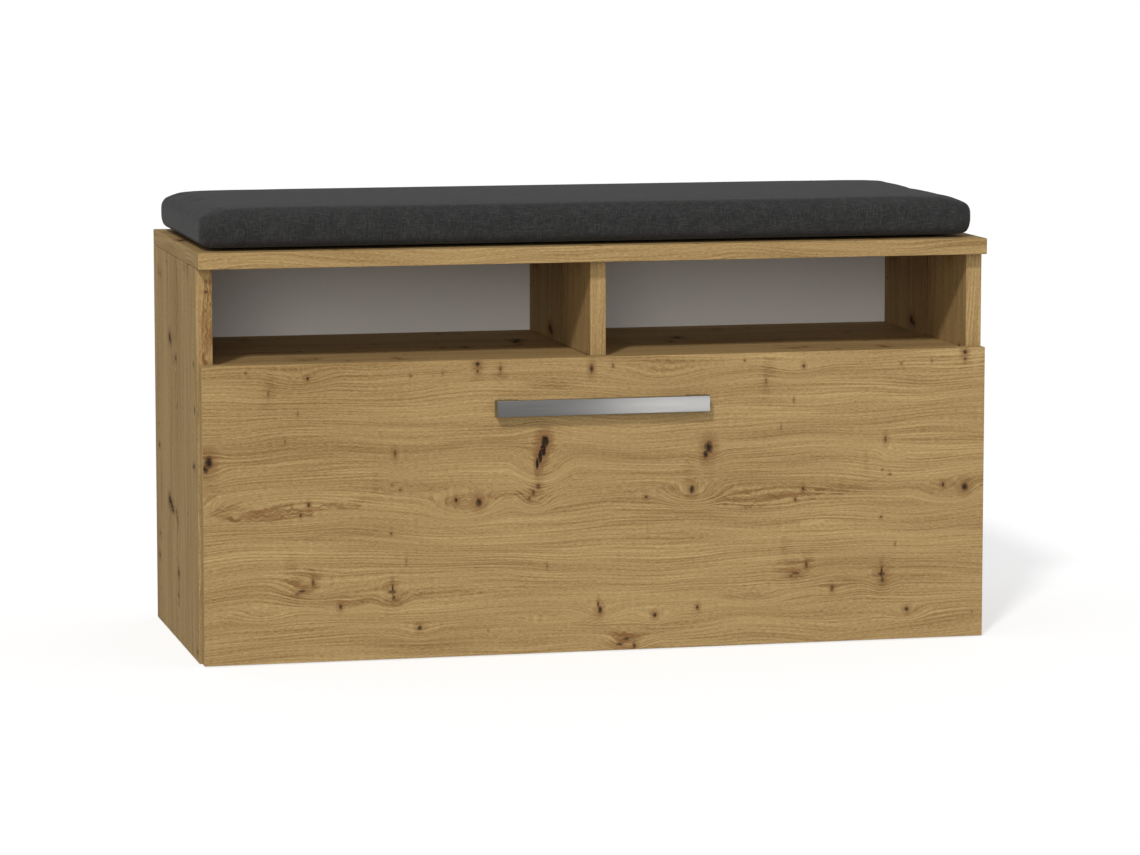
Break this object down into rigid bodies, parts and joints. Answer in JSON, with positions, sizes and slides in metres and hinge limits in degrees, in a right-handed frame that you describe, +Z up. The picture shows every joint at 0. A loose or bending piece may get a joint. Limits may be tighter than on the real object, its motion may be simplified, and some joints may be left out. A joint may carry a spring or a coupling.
{
  "type": "entryway bench",
  "caption": "Entryway bench: board case with open compartments over a wide roller-slide drawer with a bar handle, and a flat fabric seat cushion.",
  "frame": {"origin": "on the floor, under the middle of the bounding box (handle face to rear edges)", "axes": "+Z up; the drawer front and handle face -Y; +X to the right seen from the front"},
  "size_m": [0.8, 0.326, 0.4465],
  "materials": {
    "oak_board": "laminated chipboard with a knotty oak decor, matt with a fine pore",
    "white_board": "laminated chipboard, plain off-white",
    "white_hardboard": "thin hardboard, painted white on one side",
    "beech": "turned fluted dowel",
    "coated_steel": "white epoxy coating on rolled sheet",
    "zinc_steel": "zinc plated",
    "nylon": "moulded, natural white",
    "satin_aluminium": "brushed along its length, satin",
    "charcoal_fabric": "woven melange upholstery cloth",
    "cushion_foam": "polyurethane foam",
    "hook_and_loop": "hook-and-loop tape",
    "soft_pad": "clear soft bumper"
  },
  "bodies": {
    "case": {"left_side_panel": "oak_board", "right_side_panel": "oak_board", "top_board": "oak_board", "middle_shelf": "oak_board", "bottom_board": "oak_board", "centre_divider": "oak_board", "back_panel": "white_hardboard", "case_rail_left": "coated_steel", "rail_screw_left_1": "zinc_steel", "top_dowel_left_1": "beech", "cam_lock_left_1": "zinc_steel", "cam_bolt_left_1": "zinc_steel", "rail_screw_left_2": "zinc_steel", "top_dowel_left_2": "beech", "cam_lock_left_2": "zinc_steel", "cam_bolt_left_2": "zinc_steel", "case_roller_pin_left": "zinc_steel", "bumper_pad_left_low": "soft_pad", "bumper_pad_left_high": "soft_pad", "hook_strip_left": "hook_and_loop", "loop_strip_left": "hook_and_loop", "case_rail_right": "coated_steel", "rail_screw_right_1": "zinc_steel", "top_dowel_right_1": "beech", "cam_lock_right_1": "zinc_steel", "cam_bolt_right_1": "zinc_steel", "rail_screw_right_2": "zinc_steel", "top_dowel_right_2": "beech", "cam_lock_right_2": "zinc_steel", "cam_bolt_right_2": "zinc_steel", "case_roller_pin_right": "zinc_steel", "bumper_pad_right_low": "soft_pad", "bumper_pad_right_high": "soft_pad", "hook_strip_right": "hook_and_loop", "loop_strip_right": "hook_and_loop", "divider_dowel_1": "beech", "divider_dowel_2": "beech", "cushion_cover": "charcoal_fabric", "cushion_base_board": "white_hardboard", "cushion_foam": "cushion_foam"},
    "drawer": {"drawer_left_side": "white_board", "drawer_right_side": "white_board", "drawer_back": "white_board", "drawer_bottom": "white_hardboard", "drawer_front": "oak_board", "handle": "satin_aluminium", "handle_screw_left": "zinc_steel", "handle_screw_right": "zinc_steel", "drawer_rail_left": "coated_steel", "drawer_roller_pin_left": "zinc_steel", "drawer_dowel_left": "beech", "drawer_rail_right": "coated_steel", "drawer_roller_pin_right": "zinc_steel", "drawer_dowel_right": "beech"},
    "case_roller_left": {"case_roller_left": "nylon"},
    "drawer_roller_left": {"drawer_roller_left": "nylon"},
    "case_roller_right": {"case_roller_right": "nylon"},
    "drawer_roller_right": {"drawer_roller_right": "nylon"}
  },
  "joints": [
    {"name": "drawer_slide", "type": "slide", "parent": "case", "child": "drawer", "axis": [0, -1, 0], "range_m": [0, 0.185]},
    {"name": "case_roller_left_spin", "type": "hinge", "parent": "case", "child": "case_roller_left", "pos_m": [-0.3778, -0.117, 0.036], "axis": [1, 0, 0], "range_deg": [0, 1260]},
    {"name": "drawer_roller_left_spin", "type": "hinge", "parent": "drawer", "child": "drawer_roller_left", "pos_m": [-0.3777, 0.103, 0.034], "axis": [1, 0, 0], "range_deg": [0, 1260]},
    {"name": "case_roller_right_spin", "type": "hinge", "parent": "case", "child": "case_roller_right", "pos_m": [0.3778, -0.117, 0.036], "axis": [1, 0, 0], "range_deg": [0, 1260]},
    {"name": "drawer_roller_right_spin", "type": "hinge", "parent": "drawer", "child": "drawer_roller_right", "pos_m": [0.3777, 0.103, 0.034], "axis": [1, 0, 0], "range_deg": [0, 1260]}
  ],
  "couplings": [
    {"joint": "case_roller_left_spin", "follows": "drawer_slide", "rad_per_m": 117.65},
    {"joint": "drawer_roller_left_spin", "follows": "drawer_slide", "rad_per_m": 117.65},
    {"joint": "case_roller_right_spin", "follows": "drawer_slide", "rad_per_m": 117.65},
    {"joint": "drawer_roller_right_spin", "follows": "drawer_slide", "rad_per_m": 117.65}
  ]
}
